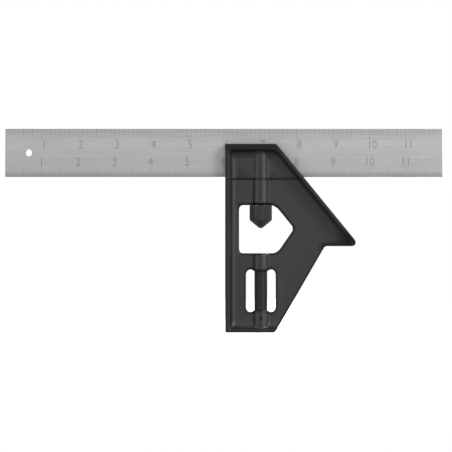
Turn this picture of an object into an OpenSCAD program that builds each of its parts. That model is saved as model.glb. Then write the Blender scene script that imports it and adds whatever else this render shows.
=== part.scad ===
// Combination square: a steel rule that slides in a moulded head with a 90 degree and a 45 degree face.
// A nut draws a hooked bolt down to clamp the rule, and a level vial lies parallel to the 90 degree face.
// Millimetres. X runs along the blade, Z up the head from its foot, and -Y is the side that is read.
// The origin is on the plane of the foot, under the middle of the blade and in the middle of the thickness.

/* [Blade] */
// Length of the rule
blade_length = 304.8; // [250:0.2:400]
// Width of the rule, from its lower edge to its upper edge
blade_width = 27.4; // [26.8:0.1:28]
// Thickness of the rule
blade_thickness = 2; // [1.8:0.1:2.2]
// Width of the clamping groove along the back
groove_width = 4; // [3.6:0.1:4.4]
// Depth of the clamping groove
groove_depth = 1; // [0.9:0.05:1.1]
// Radius of the hanging hole
hole_radius = 2.1; // [1.5:0.1:3]
// Distance from the left end to the hanging hole
hole_inset = 16.6; // [10:0.1:30]

/* [Head] */
// Distance of the 90 degree face from the middle of the blade
head_offset = 1; // [-20:0.5:60]
// Height of the head
head_height = 106.9; // [106.6:0.1:109]
// Thickness of the head
head_thickness = 19; // [17:0.5:24]
// Height of the seat that the blade's lower edge rests on
seat_height = 88; // [87.8:0.1:88.2]
// Length of the foot
foot_length = 34.6; // [33:0.1:37]
// Length of the top, up to the 45 degree face
top_length = 35.8; // [34:0.1:38]
// Height of the underside of the toe
toe_height = 48.8; // [47:0.2:52]
// Where the toe's underside meets the slanted edge
toe_start = 69.4; // [66:0.1:74]
// Half thickness of the web
web_half = 2.4; // [2:0.1:3]
// Half thickness of the cheeks beside the blade
cheek_half = 3.4; // [3.2:0.1:4]
// Width of the rim along the 90 degree face
face_rim = 3.2; // [3:0.1:5]
// Width of the rim along the 45 degree face
mitre_rim = 1.8; // [1.2:0.1:2.6]
// Width of the rim along the top
top_rim = 3.4; // [3.1:0.1:4]
// Width of the rim along the foot
foot_rim = 1.8; // [1.2:0.1:3]

/* [Clamp] */
// Distance of the clamp bolt and the vial from the 90 degree face
axis_inset = 24.8; // [24.5:0.1:25.5]
// Radius of the bolt's stem
stem_radius = 2.5; // [2.3:0.1:2.6]
// Radius of the bolt's collar and jaws
bolt_radius = 3.8; // [3.7:0.1:4]
// Radius of the clamp nut
nut_radius = 7.8; // [6.5:0.05:8]
// Number of flutes round the nut
nut_flutes = 24; // [12:1:28]
// Distance that one turn of the nut moves the bolt
thread_pitch = 0.8; // [0.5:0.1:0.9]

/* [Vial] */
// Radius of the sleeve round the vial
sleeve_radius = 4.45; // [4.3:0.05:4.5]
// Radius of the glass barrel
barrel_radius = 3.3; // [3.1:0.05:3.35]
// Length of the bubble
bubble_length = 8; // [6:0.5:9]

/* [Hidden] */

$fn = 96;
arc_steps = 6;
overshoot = 1;
fit = 0.05;
slide_gap = 0.1;

// The head's outlines, as corners of [x, z, radius] with x counted from the 90 degree face.
mitre_sum = top_length + head_height;
outline = [
    [0, 0, 0.8],
    [foot_length, 0, 1.5],
    [toe_start, toe_height, 3],
    [mitre_sum - toe_height, toe_height, 2.2],
    [top_length, head_height, 0.8],
    [0, head_height, 0.8]
];
pocket_sum = mitre_sum - mitre_rim * sqrt(2);
pocket_top = head_height - top_rim;
pocket = [
    [face_rim, foot_rim, 2],
    [pocket_sum - foot_rim, foot_rim, 2],
    [pocket_sum - pocket_top, pocket_top, 1],
    [face_rim, pocket_top, 1.5]
];
window_left = 9.7;
window_foot = 44.8;
window_top = 72;
window_shoulder = 34.8;
window_foot_end = 36.1;
window_point = 58.8;
window_corner = 2.8;
clamp_window = [
    [window_left, window_foot, window_corner],
    [window_foot_end, window_foot, window_corner],
    [window_shoulder + window_top - window_point, window_point, window_corner],
    [window_shoulder, window_top, window_corner],
    [window_left, window_top, window_corner]
];
vial_window_half = 10.3;
vial_window_foot = 11.6;
vial_window_top = 35.6;
vial_slot_width = 6.2;
vial_slot_corner = 3;
vial_slot = [
    [vial_window_half - vial_slot_width, vial_window_foot, vial_slot_corner],
    [vial_window_half, vial_window_foot, vial_slot_corner],
    [vial_window_half, vial_window_top, vial_slot_corner],
    [vial_window_half - vial_slot_width, vial_window_top, vial_slot_corner]
];

// The cut between the slots is wider than the vial's bore, so that no thin fins stand beside it,
// and it ends where the slots' round ends reach that width.
behind_vial_margin = 0.45;
behind_vial_half = sleeve_radius + fit + behind_vial_margin;
slot_corner_inset = vial_window_half - vial_slot_width + vial_slot_corner - behind_vial_half;
behind_vial_lip = vial_slot_corner - sqrt(pow(vial_slot_corner, 2) - pow(slot_corner_inset, 2));
ledge_height = seat_height - 1;
boss_radius = 6;
boss_top = pocket_top + 0.6;

// The inner slope of the 45 degree flange: inward distance from the face, and half thickness there.
slope_knee = [4.5, 5.2];
slope_foot = [11.5, web_half];

// Clamp
blade_foot = seat_height + fit;
groove_middle = blade_foot + blade_width / 2;
slot_half = blade_thickness / 2 + slide_gap;
corner_relief = 2.2;
spring_seat = window_top + 5;
collar_foot = spring_seat + 6;
collar_top = seat_height - thread_pitch - 0.3;
lip_foot = groove_middle - groove_width / 2 + fit;
lip_height = 1.65;
lip_width = 5;
jaw_top = lip_foot + lip_height;
bore_top = jaw_top + thread_pitch + 0.4;
nut_top = window_top - slide_gap;
nut_shoulder = 63.5;
nut_tip = 58.9;
nut_tip_radius = 1;
flute_radius = 0.5;
insert_radius = 3.85;
insert_foot = nut_shoulder - 0.2;
insert_floor = 0.6;
stem_foot = insert_foot + insert_floor + 0.3;
spring_radius = 3.15;
wire_radius = 0.28;
spring_turns = 5;
rings_per_turn = 14;
wire_sides = 8;

// Vial
sleeve_inner = 3.6;
sleeve_foot = 3;
sleeve_top = 41.5;
view_half = 2.6;
view_foot = vial_window_foot + vial_slot_corner;
view_top = vial_window_top - vial_slot_corner;
glass_foot = 4.5;
glass_top = 40;
glass_wall = 0.8;
glass_cap = 1.5;
bore_radius = barrel_radius - glass_wall;
plug_height = 3;
plug_foot_recess = 0.3;
vial_middle = (vial_window_foot + vial_window_top) / 2;
bubble_radius = 1.5;
bubble_rise = 0.85;
ring_thickness = 0.15;
ring_height = 0.4;
screw_height = 7.8;
screw_radius = 1;
screw_recess = 0.25;
socket_radius = 0.55;
socket_depth = 0.8;

// The arc that rounds one corner of an outline, between its two neighbours.
function place(corner) = [corner[0], corner[1]];
function unit(v) = v / norm(v);
function rounded_corner(before, corner, after) =
    let (
        radius = corner[2],
        to_before = unit(place(before) - place(corner)),
        to_after = unit(place(after) - place(corner)),
        half_angle = acos(to_before * to_after) / 2,
        centre = place(corner) + unit(to_before + to_after) * radius / sin(half_angle),
        first = place(corner) + to_before * radius / tan(half_angle) - centre,
        last = place(corner) + to_after * radius / tan(half_angle) - centre,
        start = atan2(first[1], first[0]),
        turn = (atan2(last[1], last[0]) - start + 540) % 360 - 180
    )
    [for (i = [0 : arc_steps]) centre + radius * [cos(start + turn * i / arc_steps),
                                                  sin(start + turn * i / arc_steps)]];

// A closed outline with each corner rounded by its own radius.
function rounded(corners) =
    let (count = len(corners))
    [for (i = [0 : count - 1])
        each rounded_corner(corners[(i + count - 1) % count], corners[i], corners[(i + 1) % count])];

// A plate of the given thickness, standing in the XZ plane and centred on it.
module plate(thickness, corners) {
    rotate([90, 0, 0])
        linear_extrude(thickness, center = true)
            polygon(rounded(corners));
}

// A cylinder round the clamp bolt's axis, between two heights.
module rod(radius, bottom, top) {
    translate([head_offset + axis_inset, 0, bottom])
        cylinder(r = radius, h = top - bottom);
}

module tube(outer, inner, bottom, top) {
    difference() {
        rod(outer, bottom, top);
        rod(inner, bottom - overshoot, top + overshoot);
    }
}

// The web's thickening towards the 45 degree face, on both sides.
module mitre_slope() {
    profile = [
        [0, -slope_knee[1]], [slope_knee[0], -slope_knee[1]], [slope_foot[0], -slope_foot[1]],
        [slope_foot[0], slope_foot[1]], [slope_knee[0], slope_knee[1]], [0, slope_knee[1]]
    ];
    intersection() {
        plate(head_thickness, outline);
        translate([top_length, 0, head_height])
            rotate([0, 135, 0])
                translate([0, 0, -slope_foot[0]])
                    linear_extrude(slope_foot[0] + (head_height - toe_height) * sqrt(2))
                        polygon(profile);
    }
}

module rims() {
    difference() {
        plate(head_thickness, outline);
        plate(head_thickness + 2 * overshoot, pocket);
    }
}

// The two thin walls that stand beside the blade.
module cheeks() {
    intersection() {
        plate(2 * cheek_half, outline);
        translate([-overshoot, -head_thickness / 2, ledge_height])
            cube([mitre_sum, head_thickness, head_height]);
    }
}

// The slot for the blade, with a relief at each mouth that keeps burrs and dirt out of the corner.
module blade_slot() {
    translate([-overshoot, -slot_half, seat_height])
        cube([mitre_sum, 2 * slot_half, head_height]);
    for (mouth = [[0, 0], [mitre_sum - seat_height, 45]])
        translate([mouth[0], 0, seat_height])
            rotate([0, mouth[1], 0])
                cube([2 * corner_relief, 2 * slot_half, 2 * corner_relief], center = true);
}

// Two round-ended slots, joined behind the vial.
module vial_window() {
    translate([axis_inset, 0, 0]) {
        for (side = [0, 1])
            mirror([side, 0, 0])
                plate(head_thickness + 2 * overshoot, vial_slot);
        translate([-behind_vial_half, -head_thickness / 2 - overshoot, vial_window_foot + behind_vial_lip])
            cube([2 * behind_vial_half, head_thickness + 2 * overshoot,
                  vial_window_top - vial_window_foot - 2 * behind_vial_lip]);
    }
}

module screw_hole(radius) {
    translate([head_offset + axis_inset, 0, screw_height])
        rotate([90, 0, 0])
            cylinder(r = radius, h = head_thickness);
}

module head() {
    color([0.17, 0.17, 0.18])
    difference() {
        union() {
            translate([head_offset, 0, 0]) {
                plate(2 * web_half, outline);
                rims();
                cheeks();
                mitre_slope();
            }
            rod(boss_radius, 0, window_foot + overshoot);
            rod(boss_radius, window_top - overshoot, boss_top);
        }
        translate([head_offset, 0, 0]) {
            plate(head_thickness + 2 * overshoot, clamp_window);
            vial_window();
            blade_slot();
        }
        rod(stem_radius + fit, window_top - overshoot, spring_seat + overshoot);
        rod(bolt_radius + fit, spring_seat, bore_top);
        rod(sleeve_radius + fit, -overshoot, sleeve_top + fit);
        screw_hole(screw_radius + fit);
    }
}

module blade() {
    color([0.72, 0.72, 0.71])
    difference() {
        translate([-blade_length / 2, -blade_thickness / 2, blade_foot])
            cube([blade_length, blade_thickness, blade_width]);
        translate([-blade_length / 2 - overshoot, blade_thickness / 2 - groove_depth,
                   groove_middle - groove_width / 2])
            cube([blade_length + 2 * overshoot, groove_depth + overshoot, groove_width]);
        translate([hole_inset - blade_length / 2, 0, groove_middle])
            rotate([90, 0, 0])
                cylinder(r = hole_radius, h = blade_thickness + 2 * overshoot, center = true);
    }
}

// Two jaws straddle the blade, and the rear one carries the lip that pulls in the groove.
module clamp_bolt() {
    color([0.55, 0.55, 0.56]) {
        rod(stem_radius, stem_foot, collar_foot + overshoot);
        difference() {
            rod(bolt_radius, collar_foot, jaw_top);
            translate([head_offset + axis_inset - 2 * bolt_radius, -slot_half, collar_top])
                cube([4 * bolt_radius, 2 * slot_half, head_height]);
        }
        translate([head_offset + axis_inset - lip_width / 2,
                   blade_thickness / 2 - groove_depth + slide_gap, lip_foot])
            cube([lip_width, groove_depth + overshoot, lip_height]);
    }
}

module clamp_spring() {
    low = spring_seat + wire_radius + fit;
    rise = collar_foot - wire_radius - fit - low;
    steps = spring_turns * rings_per_turn;
    points = [
        for (i = [0 : steps], j = [0 : wire_sides - 1])
            let (
                around = 360 * i / rings_per_turn,
                across = 360 * j / wire_sides,
                reach = spring_radius + wire_radius * cos(across)
            )
            [reach * cos(around), reach * sin(around), low + rise * i / steps + wire_radius * sin(across)]
    ];
    sides = [
        for (i = [0 : steps - 1], j = [0 : wire_sides - 1])
            let (k = (j + 1) % wire_sides)
            [i * wire_sides + j, i * wire_sides + k, (i + 1) * wire_sides + k, (i + 1) * wire_sides + j]
    ];
    first_end = [for (j = [0 : wire_sides - 1]) wire_sides - 1 - j];
    last_end = [for (j = [0 : wire_sides - 1]) steps * wire_sides + j];
    color([0.5, 0.5, 0.5])
    translate([head_offset + axis_inset, 0, 0])
        polyhedron(points, concat(sides, [first_end, last_end]));
}

module clamp_nut() {
    color([0.15, 0.15, 0.16])
    difference() {
        union() {
            rod(nut_radius, nut_shoulder, nut_top);
            translate([head_offset + axis_inset, 0, nut_tip])
                cylinder(r1 = nut_tip_radius, r2 = nut_radius, h = nut_shoulder - nut_tip);
        }
        rod(insert_radius + fit, insert_foot, nut_top + overshoot);
        translate([head_offset + axis_inset, 0, nut_shoulder - overshoot])
            for (i = [0 : nut_flutes - 1])
                rotate([0, 0, 360 * i / nut_flutes])
                    translate([nut_radius, 0, 0])
                        cylinder(r = flute_radius, h = head_height);
    }
}

module nut_insert() {
    color([0.75, 0.6, 0.3])
    difference() {
        rod(insert_radius, insert_foot, nut_top - fit);
        rod(stem_radius + fit, insert_foot + insert_floor, nut_top + overshoot);
    }
}

// A dark tube with its viewing slot on the back.
module vial_sleeve() {
    color([0.13, 0.13, 0.12])
    difference() {
        tube(sleeve_radius, sleeve_inner, sleeve_foot, sleeve_top);
        translate([head_offset + axis_inset, 0, 0]) {
            for (z = [view_foot + view_half, view_top - view_half])
                translate([0, 0, z])
                    rotate([-90, 0, 0])
                        cylinder(r = view_half, h = head_thickness);
            translate([-view_half, 0, view_foot + view_half])
                cube([2 * view_half, head_thickness, view_top - view_foot - 2 * view_half]);
        }
    }
}

module vial_barrel() {
    color([0.8, 0.85, 0.8, 0.4])
    difference() {
        rod(barrel_radius, glass_foot, glass_top);
        rod(bore_radius, glass_foot - overshoot, glass_top - glass_cap);
    }
}

// A round-ended bar of air or of the room for it, towards the side that is up when the level is read.
module bubble_shape(radius) {
    translate([head_offset + axis_inset + bubble_rise, 0, vial_middle]) {
        cylinder(r = radius, h = bubble_length - 2 * bubble_radius, center = true);
        for (side = [-1, 1])
            translate([0, 0, side * (bubble_length / 2 - bubble_radius)])
                sphere(r = radius);
    }
}

module vial_spirit() {
    color([0.7, 0.8, 0.2, 0.6])
    difference() {
        rod(bore_radius - fit, glass_foot + plug_height + fit, glass_top - glass_cap - fit);
        bubble_shape(bubble_radius + fit);
    }
}

module vial_bubble() {
    color([0.95, 0.98, 0.9, 0.5])
    bubble_shape(bubble_radius);
}

module vial_rings() {
    color([0.05, 0.05, 0.05])
    for (side = [-1, 1])
        let (bottom = vial_middle + side * bubble_length / 2 - ring_height / 2)
        tube(barrel_radius + fit + ring_thickness, barrel_radius + fit, bottom, bottom + ring_height);
}

module vial_plug() {
    color([0.1, 0.1, 0.1])
    rod(bore_radius - fit, glass_foot + fit, glass_foot + plug_height);
}

module vial_pad_upper() {
    color([0.2, 0.2, 0.2])
    rod(sleeve_inner - fit, glass_top + fit, sleeve_top - fit);
}

module vial_pad_lower() {
    color([0.2, 0.2, 0.2])
    rod(sleeve_inner - fit, sleeve_foot + fit, glass_foot - fit);
}

module foot_plug() {
    color([0.16, 0.16, 0.17])
    rod(sleeve_radius, plug_foot_recess, sleeve_foot - fit);
}

// A small headless screw that holds the sleeve in its bore, with a six-sided socket.
module vial_screw() {
    outer = boss_radius - screw_recess;
    inner = sleeve_radius + fit;
    color([0.12, 0.12, 0.12])
    translate([head_offset + axis_inset, -inner, screw_height])
        rotate([90, 0, 0])
            difference() {
                cylinder(r = screw_radius, h = outer - inner);
                translate([0, 0, outer - inner - socket_depth])
                    cylinder(r = socket_radius, h = socket_depth + overshoot, $fn = 6);
            }
}

head();
blade();
clamp_bolt();
clamp_spring();
clamp_nut();
nut_insert();
vial_sleeve();
vial_barrel();
vial_spirit();
vial_bubble();
vial_rings();
vial_plug();
vial_pad_upper();
vial_pad_lower();
foot_plug();
vial_screw();
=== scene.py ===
import math

import bmesh
import bpy
import numpy as np
from mathutils import Matrix, Vector


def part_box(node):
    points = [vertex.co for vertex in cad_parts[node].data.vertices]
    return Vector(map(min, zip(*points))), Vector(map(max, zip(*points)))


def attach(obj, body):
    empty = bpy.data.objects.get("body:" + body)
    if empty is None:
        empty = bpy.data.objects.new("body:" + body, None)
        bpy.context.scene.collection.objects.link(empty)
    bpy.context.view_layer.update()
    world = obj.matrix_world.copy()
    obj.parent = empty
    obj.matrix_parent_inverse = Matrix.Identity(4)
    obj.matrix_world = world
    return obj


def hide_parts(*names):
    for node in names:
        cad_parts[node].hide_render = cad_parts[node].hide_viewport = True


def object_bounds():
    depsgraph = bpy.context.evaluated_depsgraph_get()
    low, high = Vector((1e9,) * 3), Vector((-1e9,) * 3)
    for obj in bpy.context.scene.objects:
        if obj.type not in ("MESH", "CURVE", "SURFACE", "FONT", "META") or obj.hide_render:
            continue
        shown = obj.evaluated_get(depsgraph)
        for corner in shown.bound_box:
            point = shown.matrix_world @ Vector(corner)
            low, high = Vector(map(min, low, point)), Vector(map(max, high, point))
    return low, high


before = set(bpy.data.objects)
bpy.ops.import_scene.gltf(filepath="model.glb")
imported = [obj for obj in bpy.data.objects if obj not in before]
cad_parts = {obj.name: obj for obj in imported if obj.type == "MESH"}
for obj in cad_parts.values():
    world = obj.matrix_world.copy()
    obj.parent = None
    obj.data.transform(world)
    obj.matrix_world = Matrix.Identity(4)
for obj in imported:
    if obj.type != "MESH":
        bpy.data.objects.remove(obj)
cad_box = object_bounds()

MM = 0.001
FIT = 0.05

# ---------------------------------------------------------------- sizes, in millimetres from the frame


def box_mm(node):
    """Lowest and highest corner of a CAD node, in millimetres."""
    low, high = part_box(node)
    return np.array(low) / MM, np.array(high) / MM


HEAD_LOW, HEAD_HIGH = box_mm("head")
BLADE_LOW, BLADE_HIGH = box_mm("blade")
BOLT_LOW, BOLT_HIGH = box_mm("clamp_bolt")
NUT_LOW, NUT_HIGH = box_mm("clamp_nut")
INSERT_LOW, INSERT_HIGH = box_mm("nut_insert")
SLEEVE_LOW, SLEEVE_HIGH = box_mm("vial_sleeve")
GLASS_LOW, GLASS_HIGH = box_mm("vial_barrel")
SPIRIT_LOW, SPIRIT_HIGH = box_mm("vial_spirit")
BUBBLE_LOW, BUBBLE_HIGH = box_mm("vial_bubble")
SCREW_LOW, SCREW_HIGH = box_mm("vial_screw")
SPRING_LOW, SPRING_HIGH = box_mm("clamp_spring")

# The head's own places, counted from its 90 degree face and its foot
FACE_X = HEAD_LOW[0]
AXIS_X = (BOLT_LOW[0] + BOLT_HIGH[0]) / 2
AXIS = AXIS_X - FACE_X
HEIGHT = HEAD_HIGH[2]
RIM_HALF = HEAD_HIGH[1]
SEAT = BLADE_LOW[2] - FIT
LEDGE = SEAT - 1.0
FOOT_LENGTH = 34.6
TOP_LENGTH = 35.8
TOE_HEIGHT = 48.8
TOE_START = 69.4
TOE_RADIUS = 2.2
NOTCH_RADIUS = 3.0
MITRE_SUM = TOP_LENGTH + HEIGHT
WEB_HALF = 2.4
CHEEK_HALF = 3.4
FACE_RIM = 3.2
MITRE_RIM = 1.8
TOP_RIM = 3.4
FOOT_RIM = 1.8
BOSS_RADIUS = 6.0
BOSS_TOP = HEIGHT - TOP_RIM + 0.6
WINDOW_LEFT = 9.7
WINDOW_FOOT = 44.8
WINDOW_TOP = 72.0
WINDOW_SHOULDER = 34.8
WINDOW_POINT = 58.8
WINDOW_FOOT_END = 36.1
VIAL_WINDOW_HALF = 10.3
VIAL_WINDOW_FOOT = 11.6
VIAL_WINDOW_TOP = 35.6
VIAL_SLOT_RADIUS = 3.1
SLOT_HALF = BLADE_HIGH[1] + 0.1
CORNER_RELIEF = 2.2
SPRING_SEAT = WINDOW_TOP + 5.0
DRAFT = 0.05
BOLT_RADIUS = (BOLT_HIGH[0] - BOLT_LOW[0]) / 2
STEM_RADIUS = 2.5
BOLT_BORE_TOP = BOLT_HIGH[2] + 1.2
SLEEVE_RADIUS = (SLEEVE_HIGH[0] - SLEEVE_LOW[0]) / 2
BEHIND_VIAL_MARGIN = 0.5
BEHIND_VIAL_HALF = SLEEVE_RADIUS + BEHIND_VIAL_MARGIN
BEHIND_VIAL_LIP = 0.9
SCREW_Z = (SCREW_LOW[2] + SCREW_HIGH[2]) / 2
SCREW_RADIUS = (SCREW_HIGH[0] - SCREW_LOW[0]) / 2

# The fillets and rounded edges of the head, as the blends of its distances
POCKET_CORNER = 2.4
RIM_FILLET = 5.0
BOSS_FILLET = 0.7
OUTER_EDGE = 0.9
WINDOW_EDGE = 2.0
VIAL_WINDOW_EDGE = 0.9
SLOT_EDGE = 0.4
HOLE_EDGE = 0.35

# The web's slope along the 45 degree face: (how far in, how sudden, how thick) for its steep and gentle parts
STEEP_SLOPE = (3.0, 1.5, 2.3)
GENTLE_SLOPE = (8.2, 0.6, 2.8)

# Blade
GROOVE_WIDTH = 4.0
GROOVE_DEPTH = 1.0
BLADE_MIDDLE = (BLADE_LOW[2] + BLADE_HIGH[2]) / 2
HOLE_RADIUS = 2.1
HOLE_X = BLADE_LOW[0] + 16.6
INCH = 25.4

# ---------------------------------------------------------------- shapes as distances, in millimetres


def smooth_min(a, b, blend):
    """The smaller of two distances, with a fillet where they meet."""
    near = np.maximum(blend - np.abs(a - b), 0) / blend
    return np.minimum(a, b) - near * near * blend / 4


def smooth_max(a, b, blend):
    """The larger of two distances, with a rounded edge where they meet."""
    return -smooth_min(-a, -b, blend)


def round_corner(a, b, radius, cosine):
    """The larger of two distances to straight sides, with a true arc between them.

    cosine is that of the angle between the two sides' outward normals.
    """
    a_inner, b_inner = a + radius, b + radius
    on_arc = (a_inner > b_inner * cosine) & (b_inner > a_inner * cosine)
    square = a_inner * a_inner + b_inner * b_inner - 2 * cosine * a_inner * b_inner
    arc = np.sqrt(np.maximum(square, 0) / (1 - cosine * cosine)) - radius
    return np.where(on_arc, arc, np.maximum(a, b))


def most(blend, *distances):
    """The largest of several distances, with rounded edges where they meet."""
    result = distances[0]
    for distance in distances[1:]:
        result = smooth_max(result, distance, blend)
    return result


def round_rod(x, y, radius, centre_x=0.0, centre_y=0.0):
    return np.hypot(x - centre_x, y - centre_y) - radius


def clamp_window(x, z):
    """The five-sided window that the clamp nut stands in."""
    run = WINDOW_SHOULDER + WINDOW_TOP - WINDOW_POINT - WINDOW_FOOT_END
    rise = WINDOW_POINT - WINDOW_FOOT
    lower_slope = ((x - WINDOW_FOOT_END) * rise - (z - WINDOW_FOOT) * run) / math.hypot(run, rise)
    upper_slope = (x + z - WINDOW_SHOULDER - WINDOW_TOP) / math.sqrt(2)
    return most(3.0, WINDOW_LEFT - x, WINDOW_FOOT - z, z - WINDOW_TOP, lower_slope, upper_slope)


def vial_window(x, z):
    """Two round-ended slots, joined behind the vial."""
    along = np.clip(z, VIAL_WINDOW_FOOT + VIAL_SLOT_RADIUS, VIAL_WINDOW_TOP - VIAL_SLOT_RADIUS)
    beside = np.abs(x - AXIS) - VIAL_WINDOW_HALF + VIAL_SLOT_RADIUS
    slots = np.hypot(beside, z - along) - VIAL_SLOT_RADIUS
    middle = (VIAL_WINDOW_FOOT + VIAL_WINDOW_TOP) / 2
    half_height = (VIAL_WINDOW_TOP - VIAL_WINDOW_FOOT) / 2 - BEHIND_VIAL_LIP
    behind_vial = np.maximum(np.abs(x - AXIS) - BEHIND_VIAL_HALF, np.abs(z - middle) - half_height)
    return smooth_min(slots, behind_vial, 0.4)


def head_outline(x, z):
    """The head seen square on: five straight sides and the notch under the toe."""
    mitre = (x + z - MITRE_SUM) / math.sqrt(2)
    run = TOE_START - FOOT_LENGTH
    slope = math.hypot(run, TOE_HEIGHT)
    slant = ((x - FOOT_LENGTH) * TOE_HEIGHT - z * run) / slope
    notch = -round_corner(-slant, z - TOE_HEIGHT, NOTCH_RADIUS, run / slope)
    body = most(1.0, -x, -z, z - HEIGHT, mitre)
    toe = round_corner(mitre, TOE_HEIGHT - z, TOE_RADIUS, -math.sqrt(0.5))
    return np.where(x > TOE_START + 8, toe, smooth_max(body, notch, 1.6))


def mitre_slope_half(inward):
    """Half thickness of the web at a distance inside the 45 degree face."""
    steep_place, steep_rate, steep_height = STEEP_SLOPE
    gentle_place, gentle_rate, gentle_height = GENTLE_SLOPE
    steep = 1 / (1 + np.exp((inward - steep_place) * steep_rate))
    gentle = 1 / (1 + np.exp((inward - gentle_place) * gentle_rate))
    return WEB_HALF + gentle_height * gentle + steep_height * steep


def fade(distance, span):
    """Grows from 0 to 1 as a distance goes from 0 to the span."""
    return np.clip(distance / span, 0, 1)


def head_polish(x, y, z):
    """Painted shade on the head, from 0 to 1: none on the web, most under the top rim, along the rims and
    edges, round the windows, at the ledge and at the toe.
    """
    rim_front = fade(np.abs(y) - RIM_HALF + 4.5, 2.5)
    along_top = fade(TOP_RIM + 5.0 - HEIGHT + z, 5)
    along_face = fade(FACE_RIM + 5.0 - x, 3)
    under_toe = fade(TOE_HEIGHT + 3.5 - z, 3) * fade(x - TOE_START + 6, 6)
    toe_end = fade(x - TOE_START - 6, 10)
    ledge = fade(1.0 - np.abs(z - LEDGE), 0.5)
    dark_side = np.maximum(along_top * 0.85, along_face * 0.5)
    opening = np.minimum(clamp_window(x, z), vial_window(x, z))
    window_edge = fade(2.0 - opening, 1.5)
    outer_edge = fade(1.8 + head_outline(x, z), 1.2)
    edges = np.maximum(np.maximum(window_edge, outer_edge) * 0.9, np.maximum(rim_front * 0.45, ledge * 0.7))
    toe = np.maximum(under_toe, toe_end)
    return np.maximum(np.maximum(edges, toe), dark_side * np.maximum(rim_front, 0.8))


def head_shape(x, y, z):
    """The whole head: web, rims, ledge and bosses, less its windows, slot and bores."""
    depth = np.abs(y)
    mitre = (x + z - MITRE_SUM) / math.sqrt(2)
    draft = (RIM_HALF - depth) * DRAFT
    pocket = most(POCKET_CORNER, FACE_RIM - x, FOOT_RIM - z, z - HEIGHT + TOP_RIM, mitre + MITRE_RIM) + draft
    web = depth - mitre_slope_half(-mitre)
    cheeks = smooth_max(depth - CHEEK_HALF, LEDGE - z, 0.5)
    boss = round_rod(x, y, BOSS_RADIUS, AXIS)
    upper_boss = most(2.0, boss, WINDOW_TOP - 1 - z, z - BOSS_TOP)
    lower_boss = smooth_max(boss, z - WINDOW_FOOT - 1, 0.6)
    solid = smooth_min(web, cheeks, 0.4)
    solid = smooth_min(solid, -pocket, RIM_FILLET)
    solid = smooth_min(solid, upper_boss, BOSS_FILLET)
    solid = smooth_min(solid, lower_boss, BOSS_FILLET)
    solid = most(OUTER_EDGE, solid, depth - RIM_HALF, head_outline(x, z))
    solid = smooth_max(solid, -clamp_window(x, z), WINDOW_EDGE)
    solid = smooth_max(solid, -vial_window(x, z), VIAL_WINDOW_EDGE)
    face_relief = np.maximum(x, SEAT - z) - CORNER_RELIEF
    mitre_relief = np.maximum(-mitre, np.abs(x - z - MITRE_SUM + 2 * SEAT) / math.sqrt(2)) - CORNER_RELIEF
    slot_floor = np.minimum(SEAT - z, np.minimum(face_relief, mitre_relief))
    blade_slot = np.maximum(depth - SLOT_HALF, slot_floor)
    solid = smooth_max(solid, -blade_slot, SLOT_EDGE)
    stem_bore = np.maximum(round_rod(x, y, STEM_RADIUS + FIT, AXIS),
                           np.maximum(WINDOW_TOP - 2 - z, z - SPRING_SEAT - 1))
    bolt_bore = np.maximum(round_rod(x, y, BOLT_RADIUS + FIT, AXIS),
                           np.maximum(SPRING_SEAT - z, z - BOLT_BORE_TOP))
    vial_bore = np.maximum(round_rod(x, y, SLEEVE_RADIUS + FIT, AXIS), z - SLEEVE_HIGH[2] - FIT)
    screw_hole = np.maximum(np.hypot(x - AXIS, z - SCREW_Z) - SCREW_RADIUS - FIT, y)
    for hole in (stem_bore, bolt_bore, vial_bore, screw_hole):
        solid = smooth_max(solid, -hole, HOLE_EDGE)
    return solid


# ---------------------------------------------------------------- meshes from distances


def gradient(shape, points, reach=0.01):
    """Direction in which a distance grows, at each point."""
    slopes = []
    for axis in range(3):
        offset = np.zeros(3)
        offset[axis] = reach
        ahead = shape(*(points + offset).T)
        behind = shape(*(points - offset).T)
        slopes.append((ahead - behind) / (2 * reach))
    return np.stack(slopes, axis=1)


def bulge(shape, points, reach=0.35):
    """How sharply the surface curves outwards at each point, or inwards where it is negative."""
    total = -6 * shape(*points.T)
    for axis in range(3):
        offset = np.zeros(3)
        offset[axis] = reach
        total = total + shape(*(points + offset).T) + shape(*(points - offset).T)
    return total / (reach * reach)


def settle(shape, points, rounds=4, farthest=0.3):
    """Moves points onto the surface where the distance is zero."""
    for _ in range(rounds):
        slope = gradient(shape, points)
        steepness = np.maximum((slope * slope).sum(axis=1), 0.2)
        step = slope * (shape(*points.T) / steepness)[:, None]
        length = np.linalg.norm(step, axis=1)
        step *= np.minimum(1, farthest / np.maximum(length, 1e-9))[:, None]
        points = points - step
    return points


CUBE_CORNERS = np.array([[i, j, k] for i in (0, 1) for j in (0, 1) for k in (0, 1)])
CUBE_EDGES = [(a, b) for a in range(8) for b in range(a + 1, 8)
              if np.abs(CUBE_CORNERS[a] - CUBE_CORNERS[b]).sum() == 1]


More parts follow.
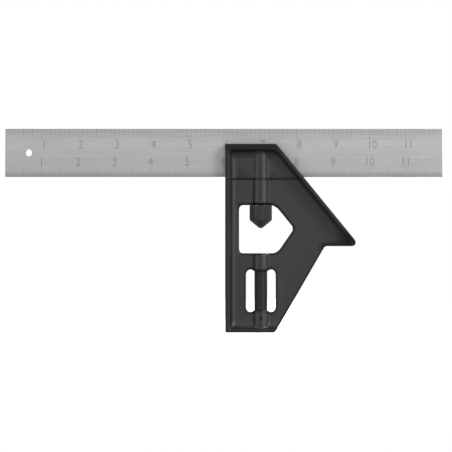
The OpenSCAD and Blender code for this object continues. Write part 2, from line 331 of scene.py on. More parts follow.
def surface_net(shape, low, high, step):
    """Points and faces of the surface where the distance is zero, with one point in each cell it crosses."""
    counts = np.ceil((np.array(high) - low) / step).astype(int) + 1
    x, y, z = [low[axis] + step * np.arange(counts[axis]) for axis in range(3)]
    value = shape(x[:, None, None], y[None, :, None], z[None, None, :])
    inside = value < 0
    cells = tuple(counts - 1)
    filled = np.zeros(cells, dtype=int)
    for i, j, k in CUBE_CORNERS:
        filled += inside[i:i + cells[0], j:j + cells[1], k:k + cells[2]]
    crossed = (filled > 0) & (filled < 8)
    cell = np.argwhere(crossed)
    number = np.full(cells, -1)
    number[crossed] = np.arange(len(cell))
    corner_value = np.stack([value[tuple((cell + corner).T)] for corner in CUBE_CORNERS], axis=1)
    total = np.zeros((len(cell), 3))
    hits = np.zeros(len(cell))
    for a, b in CUBE_EDGES:
        here = (corner_value[:, a] < 0) != (corner_value[:, b] < 0)
        part = corner_value[here, a] / (corner_value[here, a] - corner_value[here, b])
        total[here] += CUBE_CORNERS[a] + part[:, None] * (CUBE_CORNERS[b] - CUBE_CORNERS[a])
        hits[here] += 1
    points = np.array(low) + step * (cell + total / hits[:, None])
    faces = []
    for axis in range(3):
        across, along = (axis + 1) % 3, (axis + 2) % 3
        right, up = np.eye(3, dtype=int)[[across, along]]
        here = np.take(inside, range(counts[axis] - 1), axis)
        ahead = np.take(inside, range(1, counts[axis]), axis)
        start = np.argwhere(here != ahead)
        within = ((start[:, across] > 0) & (start[:, across] < counts[across] - 1)
                  & (start[:, along] > 0) & (start[:, along] < counts[along] - 1))
        start = start[within]
        quad = np.stack([number[tuple((start - back).T)] for back in (right + up, up, 0 * up, right)], axis=1)
        outward = inside[tuple(start.T)]
        faces.append(quad[outward])
        faces.append(quad[~outward][:, ::-1])
    return settle(shape, points), np.concatenate(faces)


def bare_mesh(name, points, faces):
    mesh = bpy.data.meshes.new(name)
    mesh.from_pydata([tuple(p) for p in points], [], [tuple(int(i) for i in f) for f in faces])
    mesh.update()
    return mesh


def thin_out(mesh, keep, plain=None):
    """The same surface with fewer faces, most of them taken from its flats.

    plain, if given, marks the points that may go.
    """
    helper = bpy.data.objects.new("helper", mesh)
    bpy.context.scene.collection.objects.link(helper)
    fewer = helper.modifiers.new("fewer", "DECIMATE")
    fewer.ratio = keep
    if plain is not None:
        helper.vertex_groups.new(name="plain").add(np.flatnonzero(plain).tolist(), 1.0, "REPLACE")
        fewer.vertex_group = "plain"
    graph = bpy.context.evaluated_depsgraph_get()
    thinned = bpy.data.meshes.new_from_object(helper.evaluated_get(graph))
    bpy.data.objects.remove(helper)
    return thinned


def points_of(mesh):
    flat = np.zeros(len(mesh.vertices) * 3)
    mesh.vertices.foreach_get("co", flat)
    return flat.reshape(-1, 3)


def add_attribute(mesh, name, values):
    mesh.attributes.new(name, "FLOAT", "POINT").data.foreach_set("value", values.astype(np.float32))


def carved(name, shape, low, high, step, keep, origin=(0, 0, 0), painted_shade=None):
    """A smooth mesh of a shape given by a distance, in metres, with the wear of its edges as an attribute.

    The last argument, if given, gives a second attribute: painted shade from 0 to 1, which the material turns
    into a darker colour and a weaker specular.
    """
    points, faces = surface_net(shape, np.array(low, float), np.array(high, float), step)
    plain = None
    if painted_shade is not None:
        plain = (painted_shade(*points.T) < 0.01) & (np.abs(bulge(shape, points)) < 0.02)
    mesh = thin_out(bare_mesh(name, points, faces), keep, plain)
    mesh.name = name
    points = settle(shape, points_of(mesh), rounds=2, farthest=0.1)
    normals = gradient(shape, points)
    normals /= np.maximum(np.linalg.norm(normals, axis=1), 1e-9)[:, None]
    wear = np.clip(bulge(shape, points) - 0.35, 0, 1.5) / 1.5
    mesh.vertices.foreach_set("co", ((points + origin) * MM).ravel())
    add_attribute(mesh, "edge_wear", wear)
    if painted_shade is not None:
        add_attribute(mesh, "painted_shade", painted_shade(*points.T))
    mesh.polygons.foreach_set("use_smooth", [True] * len(mesh.polygons))
    mesh.update()
    mesh.normals_split_custom_set_from_vertices([tuple(n) for n in normals])
    return mesh


# ---------------------------------------------------------------- scene pieces


def piece(name, mesh, material, body, slot, *nodes):
    """Adds a piece that rides on a body, takes the given material and stands for CAD nodes. Its slot argument
    is not used.
    """
    made = bpy.data.objects.new(name, mesh)
    bpy.context.scene.collection.objects.link(made)
    mesh.materials.clear()
    mesh.materials.append(material)
    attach(made, body)
    if nodes:
        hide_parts(*nodes)


# ---------------------------------------------------------------- materials

# Depth of each finish's relief, in metres
SPARK_RELIEF = 0.00003
SCRATCH_RELIEF = 0.000012
STREAK_RELIEF = 0.000005


def new_material(name, **settings):
    """A Principled material, its plain values set on the shader's own sockets."""
    material = bpy.data.materials.new(name)
    material.use_nodes = True
    shader = material.node_tree.nodes["Principled BSDF"]
    for socket, value in settings.items():
        shader.inputs[socket.replace("_", " ")].default_value = value
    return material, material.node_tree, shader


def add_node(tree, kind, inputs=None, **settings):
    made = tree.nodes.new(kind)
    for key, value in settings.items():
        setattr(made, key, value)
    for key, value in (inputs or {}).items():
        if hasattr(value, "node"):
            tree.links.new(value, made.inputs[key])
        else:
            made.inputs[key].default_value = value
    return made


def object_noise(tree, scale, detail=4.0, roughness=0.55, stretch=(1, 1, 1)):
    """Noise in the object's own space, with a scale in cells a metre."""
    place = add_node(tree, "ShaderNodeTexCoord")
    mapping = add_node(tree, "ShaderNodeMapping", {"Vector": place.outputs["Object"], "Scale": stretch})
    noise = add_node(tree, "ShaderNodeTexNoise", {
        "Vector": mapping.outputs["Vector"], "Scale": scale, "Detail": detail, "Roughness": roughness})
    return noise.outputs["Fac"]


def remap(tree, value, low, high, from_low=0.3, from_high=0.7):
    node = add_node(tree, "ShaderNodeMapRange", {
        "Value": value, "From Min": from_low, "From Max": from_high, "To Min": low, "To Max": high})
    return node.outputs["Result"]


def blend_colours(tree, factor, first, second):
    node = add_node(tree, "ShaderNodeMix", data_type="RGBA")
    tree.links.new(factor, node.inputs["Factor"])
    for socket, colour in ((node.inputs[6], first), (node.inputs[7], second)):
        if hasattr(colour, "node"):
            tree.links.new(colour, socket)
        else:
            socket.default_value = (*colour, 1)
    return node.outputs[2]


def bump(tree, height, strength, distance):
    inputs = {"Height": height, "Strength": strength, "Distance": distance}
    return add_node(tree, "ShaderNodeBump", inputs).outputs["Normal"]


def moulded_plastic(name, colour, worn, roughness=0.5, grain=2600, painted_shade_colour=None, shine=0.3):
    """Matte moulded plastic: fine spark texture, slow mottling, and edges rubbed lighter and smoother.

    A colour given for painted shade is blended in where the mesh's painted-shade attribute says so, and the
    specular is dimmed there too.
    """
    material, tree, shader = new_material(name, Specular_IOR_Level=shine)
    mottle = object_noise(tree, 90, detail=3)
    fine = object_noise(tree, grain, detail=3)
    tone = blend_colours(tree, remap(tree, mottle, 0, 1), colour, [c * 1.18 for c in colour])
    if painted_shade_colour is not None:
        # Painted shade: a darker colour and a weaker specular where the mesh's attribute says so.
        shade_amount = add_node(tree, "ShaderNodeAttribute", attribute_name="painted_shade").outputs["Fac"]
        tone = blend_colours(tree, shade_amount, tone, painted_shade_colour)
        tree.links.new(remap(tree, shade_amount, shine, shine / 4, 0, 1), shader.inputs["Specular IOR Level"])
    wear = add_node(tree, "ShaderNodeAttribute", attribute_name="edge_wear").outputs["Fac"]
    patchy = add_node(tree, "ShaderNodeMath", {0: wear, 1: remap(tree, object_noise(tree, 260), 0.15, 0.9)},
                      operation="MULTIPLY").outputs[0]
    tree.links.new(blend_colours(tree, patchy, tone, worn), shader.inputs["Base Color"])
    rough = remap(tree, fine, roughness - 0.05, roughness + 0.07)
    worn_rough = remap(tree, patchy, 0, 0.12, 0, 1)
    rough = add_node(tree, "ShaderNodeMath", {0: rough, 1: worn_rough}, operation="SUBTRACT").outputs[0]
    tree.links.new(rough, shader.inputs["Roughness"])
    tree.links.new(bump(tree, fine, 0.35, SPARK_RELIEF), shader.inputs["Normal"])
    return material


def brushed_metal(name, colour, roughness, stretch, scale, edges=None):
    """Ground metal: long fine scratches along one way, with slow changes of tone.

    edges, if given, holds bands of painted shade: for each, the height where the steel is unshaded, the
    height where it is darkest, and how bright it is there.
    """
    material, tree, shader = new_material(name, Metallic=1.0)
    lines = object_noise(tree, scale, detail=5, roughness=0.7, stretch=stretch)
    cloud = object_noise(tree, 30, detail=3)
    tone = blend_colours(tree, remap(tree, lines, 0, 1, 0.25, 0.75), [c * 0.93 for c in colour], colour)
    tone = blend_colours(tree, remap(tree, cloud, 0, 0.5), tone, [c * 0.9 for c in colour])
    if edges is not None:
        place = add_node(tree, "ShaderNodeTexCoord")
        height = add_node(tree, "ShaderNodeSeparateXYZ", {"Vector": place.outputs["Object"]}).outputs["Z"]
        # Painted shade: each band darkens the steel's colour towards its darkest height.
        for unshaded_height, darkest_height, left in edges:
            band_shade = remap(tree, height, 0, 1, unshaded_height * MM, darkest_height * MM)
            tone = blend_colours(tree, band_shade, tone, [c * left for c in colour])
    tree.links.new(tone, shader.inputs["Base Color"])
    tree.links.new(remap(tree, lines, roughness - 0.05, roughness + 0.08), shader.inputs["Roughness"])
    tree.links.new(bump(tree, lines, 0.25, SCRATCH_RELIEF), shader.inputs["Normal"])
    return material


def seen_through(name, colour, roughness, index):
    """Something clear, with faint streaks in its surface."""
    material, tree, shader = new_material(name, IOR=index, Transmission_Weight=1.0)
    streaks = object_noise(tree, 600, detail=3, stretch=(1, 1, 0.2))
    tree.links.new(blend_colours(tree, remap(tree, streaks, 0, 1), colour, [c * 0.96 for c in colour]),
                   shader.inputs["Base Color"])
    tree.links.new(remap(tree, streaks, roughness, roughness + 0.05), shader.inputs["Roughness"])
    tree.links.new(bump(tree, streaks, 0.1, STREAK_RELIEF), shader.inputs["Normal"])
    return material


# The head's near-black second colour is painted shade, laid on by the mesh's painted-shade attribute, which
# also dims its specular.
HEAD_PLASTIC = moulded_plastic("head_plastic", (0.0125, 0.0125, 0.013), (0.018, 0.018, 0.0185), 0.44,
                               painted_shade_colour=(0.005, 0.005, 0.005), shine=0.42)
NUT_PLASTIC = moulded_plastic("nut_plastic", (0.011, 0.011, 0.0115), (0.02, 0.02, 0.02), 0.5)
FOOT_PLASTIC = moulded_plastic("foot_plastic", (0.02, 0.02, 0.021), (0.03, 0.03, 0.03), 0.5)
SLEEVE_PLASTIC = moulded_plastic("sleeve_plastic", (0.008, 0.008, 0.006), (0.012, 0.012, 0.01), 0.5,
                                 shine=0.2)
PLUG_RUBBER = moulded_plastic("plug_rubber", (0.02, 0.02, 0.02), (0.03, 0.03, 0.03), 0.7, grain=1500)
PAD_RUBBER = moulded_plastic("pad_rubber", (0.05, 0.05, 0.05), (0.07, 0.07, 0.07), 0.8, grain=1200)
RING_INK = moulded_plastic("ring_ink", (0.008, 0.008, 0.008), (0.01, 0.01, 0.01), 0.55)
SCREW_BLACK = moulded_plastic("screw_black", (0.006, 0.006, 0.0065), (0.01, 0.01, 0.01), 0.4, grain=4000)
# The blade's colour carries painted shade in its reflection: darker over its lower half, in a line along the
# bottom edge and in a band along the top.
BLADE_STEEL = brushed_metal("blade_steel", (0.472, 0.467, 0.463), 0.42, (0.02, 1, 1), scale=2400, edges=(
    (BLADE_MIDDLE + 4, BLADE_MIDDLE - 5, 0.89), (BLADE_LOW[2] + 3.5, BLADE_LOW[2], 0.6),
    (BLADE_HIGH[2] - 7.0, BLADE_HIGH[2], 0.8)))
ETCHED_STEEL = brushed_metal("etched_steel", (0.27, 0.268, 0.265), 0.5, (1, 1, 1), scale=3000)
BOLT_STEEL = brushed_metal("bolt_steel", (0.45, 0.45, 0.46), 0.3, (1, 1, 12), scale=600)
SPRING_STEEL = brushed_metal("spring_steel", (0.36, 0.36, 0.37), 0.35, (1, 1, 1), scale=3000)
BRASS = brushed_metal("brass", (0.72, 0.50, 0.22), 0.3, (1, 1, 10), scale=700)
ACRYLIC = seen_through("acrylic", (0.97, 0.99, 0.96), 0.02, 1.49)
SPIRIT = seen_through("spirit", (0.62, 0.85, 0.10), 0.0, 1.36)
AIR = seen_through("air", (0.98, 1.0, 0.95), 0.0, 1.0)

# ---------------------------------------------------------------- the head

# The head's mesh carries its painted shade as a second attribute: under the top rim, along the rims and
# edges, round the windows, at the ledge and at the toe.
head_mesh = carved("head_shell", head_shape, (-1, -RIM_HALF - 0.7, -0.7),
                   (HEAD_HIGH[0] - FACE_X + 1, RIM_HALF + 0.7, HEIGHT + 0.7), step=0.42, keep=0.66,
                   origin=(FACE_X, 0, 0), painted_shade=head_polish)
piece("head_shell", head_mesh, HEAD_PLASTIC, "head", "head_plastic", "head")

# ---------------------------------------------------------------- the blade


def tidy_normals(mesh):
    """Merges points that meet, drops empty faces and turns every face outwards."""
    work = bmesh.new()
    work.from_mesh(mesh)
    bmesh.ops.remove_doubles(work, verts=work.verts, dist=0.000001)
    bmesh.ops.dissolve_degenerate(work, edges=work.edges, dist=0.0000001)
    bmesh.ops.recalc_face_normals(work, faces=work.faces)
    work.to_mesh(mesh)
    work.free()


def solid_from_rings(name, rings, closed=True):
    """A mesh whose rings of points are joined side to side, with its ends filled in."""
    count = len(rings[0])
    points = [p for ring in rings for p in ring]
    faces = []
    for i in range(len(rings) - 1):
        for j in range(count):
            k = (j + 1) % count
            faces.append((i * count + j, i * count + k, (i + 1) * count + k, (i + 1) * count + j))
    if closed:
        faces.append(tuple(reversed(range(count))))
        faces.append(tuple(range(len(points) - count, len(points))))
    mesh = bare_mesh(name, points, faces)
    tidy_normals(mesh)
    return mesh


def cut_away(mesh, cutter):
    """The mesh less the cutter's volume."""
    target = bpy.data.objects.new("target", mesh)
    tool = bpy.data.objects.new("tool", cutter)
    for made in (target, tool):
        bpy.context.scene.collection.objects.link(made)
    cut = target.modifiers.new("cut", "BOOLEAN")
    cut.operation = "DIFFERENCE"
    cut.solver = "EXACT"
    cut.object = tool
    graph = bpy.context.evaluated_depsgraph_get()
    result = bpy.data.meshes.new_from_object(target.evaluated_get(graph))
    bpy.data.objects.remove(target)
    bpy.data.objects.remove(tool)
    return result


def blade_section(inset):
    """Outline across the blade as (y, z): four eased corners, and the groove along the back."""
    ease = 0.25
    half = BLADE_HIGH[1] - inset
    low, high = BLADE_LOW[2] + inset, BLADE_HIGH[2] - inset
    groove_floor = BLADE_HIGH[1] - GROOVE_DEPTH
    groove_low, groove_high = BLADE_MIDDLE - GROOVE_WIDTH / 2, BLADE_MIDDLE + GROOVE_WIDTH / 2
    bite = ease * 0.3
    lip = 0.1
    return [(-half + ease, low), (half - ease, low), (half - bite, low + bite), (half, low + ease),
            (half, groove_low - lip), (half - lip, groove_low), (groove_floor, groove_low),
            (groove_floor, groove_high), (half - lip, groove_high), (half, groove_high + lip),
            (half, high - ease), (half - bite, high - bite), (half - ease, high),
            (-half + ease, high), (-half + bite, high - bite), (-half, high - ease),
            (-half, low + ease), (-half + bite, low + bite)]


# Section of the hanging hole, from front to back: (depth, how much wider than the hole)
HOLE_SECTION = ((-2.0, 1.0), (-1.0, 0.25), (-0.75, 0.0), (1.2, 0.0), (2.2, 1.0))
HOLE_SIDES = 64


def make_blade():
    """The rule with its groove and eased edges, less the hanging hole."""
    ease = 0.2
    left, right = BLADE_LOW[0], BLADE_HIGH[0]
    rings = []
    for x, inset in ((left, ease), (left + ease, 0), (right - ease, 0), (right, ease)):
        rings.append([(x * MM, y * MM, z * MM) for y, z in blade_section(inset)])
    blade = solid_from_rings("blade_rule", rings)
    rings = []
    for y, wider in HOLE_SECTION:
        circle = []
        reach = HOLE_RADIUS + wider
        for i in range(HOLE_SIDES):
            angle = math.tau * i / HOLE_SIDES
            circle.append(((HOLE_X + reach * math.cos(angle)) * MM, y * MM,
                           (BLADE_MIDDLE + reach * math.sin(angle)) * MM))
        rings.append(circle)
    blade = cut_away(blade, solid_from_rings("hole", rings))
    piece("blade_rule", blade, BLADE_STEEL, "blade", "blade_steel", "blade")


# The numerals' rows stand this far from the blade's lower and upper edges, and the upper row's numerals stand
# a little past their inch. A digit is DIGIT_HEIGHT times as high as the font's size.
MARK_WIDTH = 0.26
MARK_RISE = 0.02
MARK_MARGIN = 0.25
HOLE_CLEARANCE = 3.0
DIGIT_HEIGHT = 0.73
LOWER_NUMERALS = 8.4
UPPER_NUMERALS = 9.1
UPPER_NUMERAL_SHIFT = 1.9
TICK_LENGTHS = ((1, 6.0), (2, 4.6), (4, 3.4), (8, 2.4), (16, 1.7), (32, 1.2))


def tick_length(step, divisions):
    """Length of the tick this many divisions from zero, longest on whole inches."""
    for parts, length in TICK_LENGTHS:
        if step * parts % divisions == 0:
            return length
    return TICK_LENGTHS[-1][1]


def add_box(points, faces, low, high):
    start = len(points)
    for x in (low[0], high[0]):
        for y in (low[1], high[1]):
            for z in (low[2], high[2]):
                points.append((x * MM, y * MM, z * MM))
    for face in ((0, 1, 3, 2), (4, 6, 7, 5), (0, 4, 5, 1), (2, 3, 7, 6), (0, 2, 6, 4), (1, 5, 7, 3)):
        faces.append(tuple(start + i for i in face))


def add_numeral(points, faces, text, centre, height, side):
    """A plain numeral, standing on one face of the blade."""
    curve = bpy.data.curves.new("numeral", "FONT")
    curve.body = text
    curve.align_x = "CENTER"
    curve.align_y = "CENTER"
    curve.size = height / DIGIT_HEIGHT
    curve.extrude = MARK_RISE
    curve.resolution_u = 3
    holder = bpy.data.objects.new("numeral", curve)
    bpy.context.scene.collection.objects.link(holder)
    graph = bpy.context.evaluated_depsgraph_get()
    mesh = bpy.data.meshes.new_from_object(holder.evaluated_get(graph))
    start = len(points)
    for vertex in mesh.vertices:
        across, up, out = vertex.co
        place = (centre[0] - side * across, centre[1] + side * out, centre[2] + up)
        points.append(tuple(value * MM for value in place))
    for polygon in mesh.polygons:
        faces.append(tuple(start + i for i in polygon.vertices))
    bpy.data.objects.remove(holder)
    bpy.data.meshes.remove(mesh)


def make_marks(name, side, upper_divisions, lower_divisions, height):
    """Ticks on both edges of one face and two rows of numerals; side is -1 for the front, 1 for the back."""
    points, faces = [], []
    face = side * BLADE_HIGH[1]
    inches = round((BLADE_HIGH[0] - BLADE_LOW[0]) / INCH)
    zero = side * BLADE_HIGH[0]
    rows = ((upper_divisions, BLADE_HIGH[2] - MARK_MARGIN, -1),
            (lower_divisions, BLADE_LOW[2] + MARK_MARGIN, 1))
    for divisions, edge, up in rows:
        for step in range(1, inches * divisions):
            x = zero - side * step * INCH / divisions
            end = edge + up * tick_length(step, divisions)
            low = (x - MARK_WIDTH / 2, face - MARK_RISE, min(edge, end))
            high = (x + MARK_WIDTH / 2, face + MARK_RISE, max(edge, end))
            if math.hypot(x - HOLE_X, (low[2] + high[2]) / 2 - BLADE_MIDDLE) > HOLE_RADIUS + HOLE_CLEARANCE:
                add_box(points, faces, low, high)
    for inch in range(1, inches):
        x = zero - side * inch * INCH
        for z, shift in ((BLADE_LOW[2] + LOWER_NUMERALS, 0),
                         (BLADE_HIGH[2] - UPPER_NUMERALS, UPPER_NUMERAL_SHIFT)):
            add_numeral(points, faces, str(inch), (x - side * shift, face, z), height, side)
    piece(name, bare_mesh(name, points, faces), ETCHED_STEEL, "blade", "blade_steel")


make_blade()
make_marks("front_marks", -1, 8, 16, 5.1)
make_marks("back_marks", 1, 16, 32, 4.0)

# ---------------------------------------------------------------- the clamp

THREAD_PITCH = 0.8
NUT_SHOULDER = 63.5
NUT_GAP = 0.02
NUT_FLUTES = 24
FLUTE_RADIUS = 0.5
THREAD_SLOPE = 0.9
LIP_HALF_WIDTH = 2.5
LIP_REACH = 2.0
COLLAR_FOOT = SPRING_SEAT + 6
COLLAR_TOP = SEAT - THREAD_PITCH - 0.3
LIP_HEIGHT = 1.65


def thread_depth(x, y, z):
    """Depth of a vee thread below its crests, in a part whose axis is the bolt's."""
    turn = z / THREAD_PITCH - np.arctan2(y, x) / math.tau
    return np.abs((turn % 1) - 0.5) * THREAD_PITCH * THREAD_SLOPE


def bolt_shape(x, y, z):
    """The threaded stem, the collar with its fork, and the lip that stands in the blade's groove."""
    radius = np.hypot(x, y)
    stem = most(0.3, radius - STEM_RADIUS + thread_depth(x, y, z) * (z < SPRING_SEAT), BOLT_LOW[2] - z,
                z - COLLAR_FOOT - 1)
    jaws = most(0.3, radius - BOLT_RADIUS, COLLAR_FOOT - z, z - BOLT_HIGH[2])
    slot = np.maximum(np.abs(y) - SLOT_HALF, COLLAR_TOP - z)
    jaws = smooth_max(jaws, -slot, 0.2)
    lip = np.maximum(np.maximum(np.abs(x) - LIP_HALF_WIDTH, BOLT_HIGH[2] - LIP_HEIGHT - z),
                     np.maximum(0.1 - y, np.maximum(y - LIP_REACH, z - BOLT_HIGH[2])))
    return np.minimum(np.minimum(stem, jaws), lip)


def nut_shape(x, y, z):
    """A fluted barrel that ends in a cone, bored for its insert."""
    radius = np.hypot(x, y)
    outer = (NUT_HIGH[0] - NUT_LOW[0]) / 2
    slope = (NUT_SHOULDER - NUT_LOW[2]) / (outer - 1)
    cone = ((radius - outer) * slope - (z - NUT_SHOULDER)) / math.hypot(slope, 1)
    body = most(0.8, radius - outer, cone, NUT_LOW[2] - z)
    body = smooth_max(body, z - WINDOW_TOP + NUT_GAP, 0.2)
    turn = np.arctan2(y, x) * NUT_FLUTES / (math.tau)
    around = np.abs((turn % 1) - 0.5) * math.tau * outer / NUT_FLUTES
    flute = np.maximum(np.hypot(radius - outer, around) - FLUTE_RADIUS, NUT_SHOULDER - 0.3 - z)
    body = smooth_max(body, -flute, 0.35)
    bore = np.maximum(radius - INSERT_HIGH[0] + AXIS_X - FIT, INSERT_LOW[2] - z)
    return smooth_max(body, -bore, 0.3)


def insert_shape(x, y, z):
    """A bored bush with a groove round it that the nut is moulded into."""
    radius = np.hypot(x, y)
    outer = (INSERT_HIGH[0] - INSERT_LOW[0]) / 2
    body = most(0.3, radius - outer, z - INSERT_HIGH[2], INSERT_LOW[2] - z)
    bore = np.maximum(radius - STEM_RADIUS - FIT, INSERT_LOW[2] + 0.6 - z)
    groove = np.maximum(np.abs(z - (INSERT_LOW[2] + INSERT_HIGH[2]) / 2) - 0.6, outer - 0.35 - radius)
    body = smooth_max(body, -bore, 0.3)
    return smooth_max(body, -groove, 0.2)


def on_axis(name, shape, low, high, step, keep, material, body, slot, node):
    """A carved piece that stands on the bolt's axis, between two heights and inside its CAD node's box."""
    reach = (high[0] - low[0]) / 2 + 0.4
    depth = (high[1] - low[1]) / 2 + 0.4
    middle = (low[1] + high[1]) / 2
    mesh = carved(name, shape, (-reach, middle - depth, low[2] - 0.4), (reach, middle + depth, high[2] + 0.4),
                  step, keep, (AXIS_X, 0, 0))
    piece(name, mesh, material, body, slot, node)


on_axis("draw_bolt", bolt_shape, BOLT_LOW, BOLT_HIGH, 0.16, 0.5, BOLT_STEEL, "bolt", "bolt_steel",
        "clamp_bolt")
on_axis("fluted_nut", nut_shape, NUT_LOW, NUT_HIGH, 0.2, 0.6, NUT_PLASTIC, "nut", "nut_plastic",
        "clamp_nut")
on_axis("thread_insert", insert_shape, INSERT_LOW, INSERT_HIGH, 0.2, 0.6, BRASS, "nut", "insert_brass",
        "nut_insert")


def make_spring():
    """A wound wire, thinner over its last half turn at each end."""
    wire = 0.28
    turns = 5
    steps_a_turn = 40
    sides = 12
    thin_end = 0.55
    reach = (SPRING_HIGH[0] - SPRING_LOW[0]) / 2 - wire
    low, high = SPRING_LOW[2] + wire, SPRING_HIGH[2] - wire
    steps = turns * steps_a_turn
    rings = []
    for i in range(steps + 1):
        part = i / steps
        angle = math.tau * turns * part
        taper = min(1, thin_end + turns * min(part, 1 - part))
        outward = Vector((math.cos(angle), math.sin(angle), 0))
        upward = Vector((0, 0, 1))
        centre = Vector((AXIS_X, 0, low + (high - low) * part)) + outward * reach
        ring = []
        for j in range(sides):
            around = math.tau * j / sides
            point = centre + (outward * math.cos(around) + upward * math.sin(around)) * wire * taper
            ring.append(tuple(point * MM))
        rings.append(ring)
    mesh = solid_from_rings("coil_spring", rings)
    mesh.polygons.foreach_set("use_smooth", [True] * len(mesh.polygons))
    piece("coil_spring", mesh, SPRING_STEEL, "head", "spring_steel", "clamp_spring")


make_spring()

# ---------------------------------------------------------------- the level vial

VIEW_HALF = 2.6
VIEW_INSET = 3.0
VIEW_FOOT = VIAL_WINDOW_FOOT + VIEW_INSET
VIEW_TOP = VIAL_WINDOW_TOP - VIEW_INSET
SLEEVE_INNER = 3.6
SOCKET_HALF = 0.48
SOCKET_DEPTH = 0.8
GLASS_WALL = 0.8
GLASS_CAP = 1.5


def sleeve_shape(x, y, z):
    """A tube with a round-ended viewing slot in its back."""
    radius = np.hypot(x, y)
    wall = np.maximum(radius - SLEEVE_RADIUS, SLEEVE_INNER - radius)
    body = most(0.25, wall, z - SLEEVE_HIGH[2], SLEEVE_LOW[2] - z)
    along = np.clip(z, VIEW_FOOT + VIEW_HALF, VIEW_TOP - VIEW_HALF)
    view = np.maximum(np.hypot(x, z - along) - VIEW_HALF, -y)
    return smooth_max(body, -view, 0.3)


def screw_shape(x, y, z):
    """A grub screw with a hexagon socket."""
    radius = np.hypot(x, z - SCREW_Z)
    body = most(0.15, radius - SCREW_RADIUS, SCREW_LOW[1] - y, y - SCREW_HIGH[1])
    flats = [np.abs(x * math.cos(a) + (z - SCREW_Z) * math.sin(a)) for a in (0, math.pi / 3, math.tau / 3)]
    across = np.maximum(flats[0], np.maximum(flats[1], flats[2]))
    socket = np.maximum(across - SOCKET_HALF, y - SCREW_LOW[1] - SOCKET_DEPTH)
    return smooth_max(body, -socket, 0.06)


on_axis("vial_tube", sleeve_shape, SLEEVE_LOW, SLEEVE_HIGH, 0.25, 0.5, SLEEVE_PLASTIC, "head", "sleeve_black",
        "vial_sleeve")
on_axis("socket_screw", screw_shape, SCREW_LOW, SCREW_HIGH, 0.07, 1.0, SCREW_BLACK, "head", "screw_black",
        "vial_screw")


TURNED_STEPS = 72
EASED_STEPS = 4


def eased(corners, ease):
    """A closed outline of (radius, height) with each corner that is off the axis rounded."""
    result = []
    for i, corner in enumerate(corners):
        here = Vector(corner)
        if here.x < 0.01:
            result.append(tuple(here))
            continue
        first = here + (Vector(corners[i - 1]) - here).normalized() * ease
        last = here + (Vector(corners[(i + 1) % len(corners)]) - here).normalized() * ease
        for k in range(EASED_STEPS + 1):
            part = k / EASED_STEPS
            result.append(tuple(first * (1 - part) ** 2 + here * 2 * part * (1 - part) + last * part ** 2))
    return result


def turned(name, corners, ease, material, body, slot, node, shift=0.0):
    """A piece turned about the vial's axis, from a closed outline of (radius, height)."""
    outline = eased(corners, ease)
    rings = []
    for i in range(TURNED_STEPS + 1):
        angle = math.tau * i / TURNED_STEPS
        rings.append([((AXIS_X + shift + r * math.cos(angle)) * MM, r * math.sin(angle) * MM, z * MM)
                      for r, z in outline])
    mesh = solid_from_rings(name, rings, closed=False)
    mesh.polygons.foreach_set("use_smooth", [True] * len(mesh.polygons))
    piece(name, mesh, material, body, slot, node)


def solid_rod(radius, low, high):
    return [(0, low), (radius, low), (radius, high), (0, high)]


def make_vial():
    glass = (GLASS_HIGH[0] - GLASS_LOW[0]) / 2
    bore = glass - GLASS_WALL
    foot, top = GLASS_LOW[2], GLASS_HIGH[2]
    turned("vial_body", [(bore, foot), (glass, foot), (glass, top), (0, top), (0, top - GLASS_CAP),
                         (bore, top - GLASS_CAP)], 0.2, ACRYLIC, "head", "barrel_acrylic", "vial_barrel")
    turned("vial_liquid", solid_rod(bore - FIT, SPIRIT_LOW[2], SPIRIT_HIGH[2]), 0.2, SPIRIT, "head", "spirit",
           "vial_spirit")
    bubble = (BUBBLE_HIGH[0] - BUBBLE_LOW[0]) / 2
    turned("air_bubble", solid_rod(bubble, BUBBLE_LOW[2], BUBBLE_HIGH[2]), 1.2, AIR, "bubble", "bubble_air",
           "vial_bubble", (BUBBLE_HIGH[0] + BUBBLE_LOW[0]) / 2 - AXIS_X)
    for name, node, material, slot in (
            ("barrel_plug", "vial_plug", PLUG_RUBBER, "plug_black"),
            ("upper_pad", "vial_pad_upper", PAD_RUBBER, "pad_rubber"),
            ("lower_pad", "vial_pad_lower", PAD_RUBBER, "pad_rubber"),
            ("bore_plug", "foot_plug", FOOT_PLASTIC, "foot_plastic")):
        low, high = box_mm(node)
        turned(name, solid_rod((high[0] - low[0]) / 2, low[2], high[2]), 0.3, material, "head", slot, node)


def make_rings():
    low, high = box_mm("vial_rings")
    outer = (high[0] - low[0]) / 2
    tall = 0.4
    thick = 0.15
    for number, foot in enumerate((low[2], high[2] - tall)):
        corners = [(outer - thick, foot), (outer, foot), (outer, foot + tall), (outer - thick, foot + tall)]
        turned(f"index_ring_{number}", corners, 0.05, RING_INK, "head", "ring_black", "vial_rings")


make_vial()
make_rings()

# ---------------------------------------------------------------- stage, light and camera

WHITE = (1.0, 1.0, 1.0, 1.0)
FLOOR_GLOW = 0.85
STUDIO_GLOW = 0.74
LAMP_DISTANCE = 2.0
VIEW_WIDTH = 0.3146
VIEW_CENTRE = Vector((0.0016, 0.0, 0.0602))


def make_floor():
    size = 6.0
    corners = [(-size, -size, 0), (size, -size, 0), (size, size, 0), (-size, size, 0)]
    mesh = bare_mesh("floor", corners, [(0, 1, 2, 3)])
    material, _, shader = new_material("floor_paint", Base_Color=(0.9, 0.9, 0.9, 1), Roughness=0.9)
    shader.inputs["Emission Color"].default_value = WHITE
    shader.inputs["Emission Strength"].default_value = FLOOR_GLOW
    mesh.materials.append(material)
    floor = bpy.data.objects.new("floor", mesh)
    bpy.context.scene.collection.objects.link(floor)
    floor.location.z = cad_box[0].z
    floor.visible_diffuse = False
    floor.visible_glossy = False


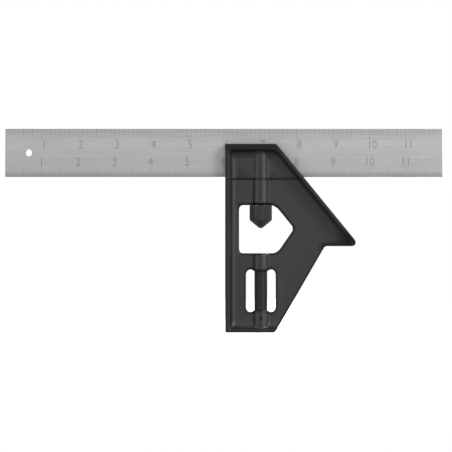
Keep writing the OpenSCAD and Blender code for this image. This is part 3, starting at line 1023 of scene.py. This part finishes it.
def make_world():
    """White where the camera sees it, and dimmer as a light, so that dark plastic keeps its shading."""
    world = bpy.data.worlds.new("studio")
    bpy.context.scene.world = world
    world.use_nodes = True
    tree = world.node_tree
    tree.nodes.clear()
    seen = add_node(tree, "ShaderNodeBackground", {"Color": WHITE, "Strength": 1.0})
    lighting = add_node(tree, "ShaderNodeBackground", {"Color": WHITE, "Strength": STUDIO_GLOW})
    path = add_node(tree, "ShaderNodeLightPath")
    mix = add_node(tree, "ShaderNodeMixShader", {0: path.outputs["Is Camera Ray"], 1: lighting.outputs[0],
                                                 2: seen.outputs[0]})
    add_node(tree, "ShaderNodeOutputWorld", {"Surface": mix.outputs[0]})


def softbox(name, round_right, up, size, watts):
    """A square lamp aimed at the tool, placed by its angles to the right of straight in front and up."""
    light = bpy.data.lights.new(name, "AREA")
    light.shape = "SQUARE"
    light.size = size
    light.energy = watts
    lamp = bpy.data.objects.new(name, light)
    bpy.context.scene.collection.objects.link(lamp)
    around, rise = math.radians(round_right), math.radians(up)
    way = Vector((math.sin(around) * math.cos(rise), -math.cos(around) * math.cos(rise), math.sin(rise)))
    lamp.location = VIEW_CENTRE + way * LAMP_DISTANCE
    lamp.rotation_euler = way.to_track_quat("Z", "Y").to_euler()


# The reference view is taller than true by this much, so the main camera squeezes what it sees upright.
VERTICAL_STRETCH = 1.228
LONG_LENS = 1500.0
SENSOR = 36.0


def make_camera():
    """A distant camera square to the front, whose sheared parent stretches only this view upwards."""
    data = bpy.data.cameras.new("camera")
    data.lens = LONG_LENS
    data.sensor_width = SENSOR
    camera = bpy.data.objects.new("camera", data)
    rig = bpy.data.objects.new("camera_rig", None)
    for made in (camera, rig):
        bpy.context.scene.collection.objects.link(made)
    squeeze = 1 / VERTICAL_STRETCH
    shear = Matrix.Identity(4)
    shear[2][2] = squeeze
    shear[1][2] = -math.sqrt(1 - squeeze * squeeze)
    camera.parent = rig
    camera.matrix_parent_inverse = shear
    distance = VIEW_WIDTH * LONG_LENS / SENSOR
    camera.location = shear.inverted() @ (VIEW_CENTRE - Vector((0, distance, 0)))
    camera.rotation_euler = (math.radians(90), 0, 0)
    bpy.context.scene.camera = camera


make_floor()
make_world()
softbox("key", 46, 24, 0.7, 46)
softbox("fill", -55, 15, 0.9, 12)
softbox("behind", 150, 35, 1.2, 30)
make_camera()
bpy.context.scene.view_settings.view_transform = "Standard"
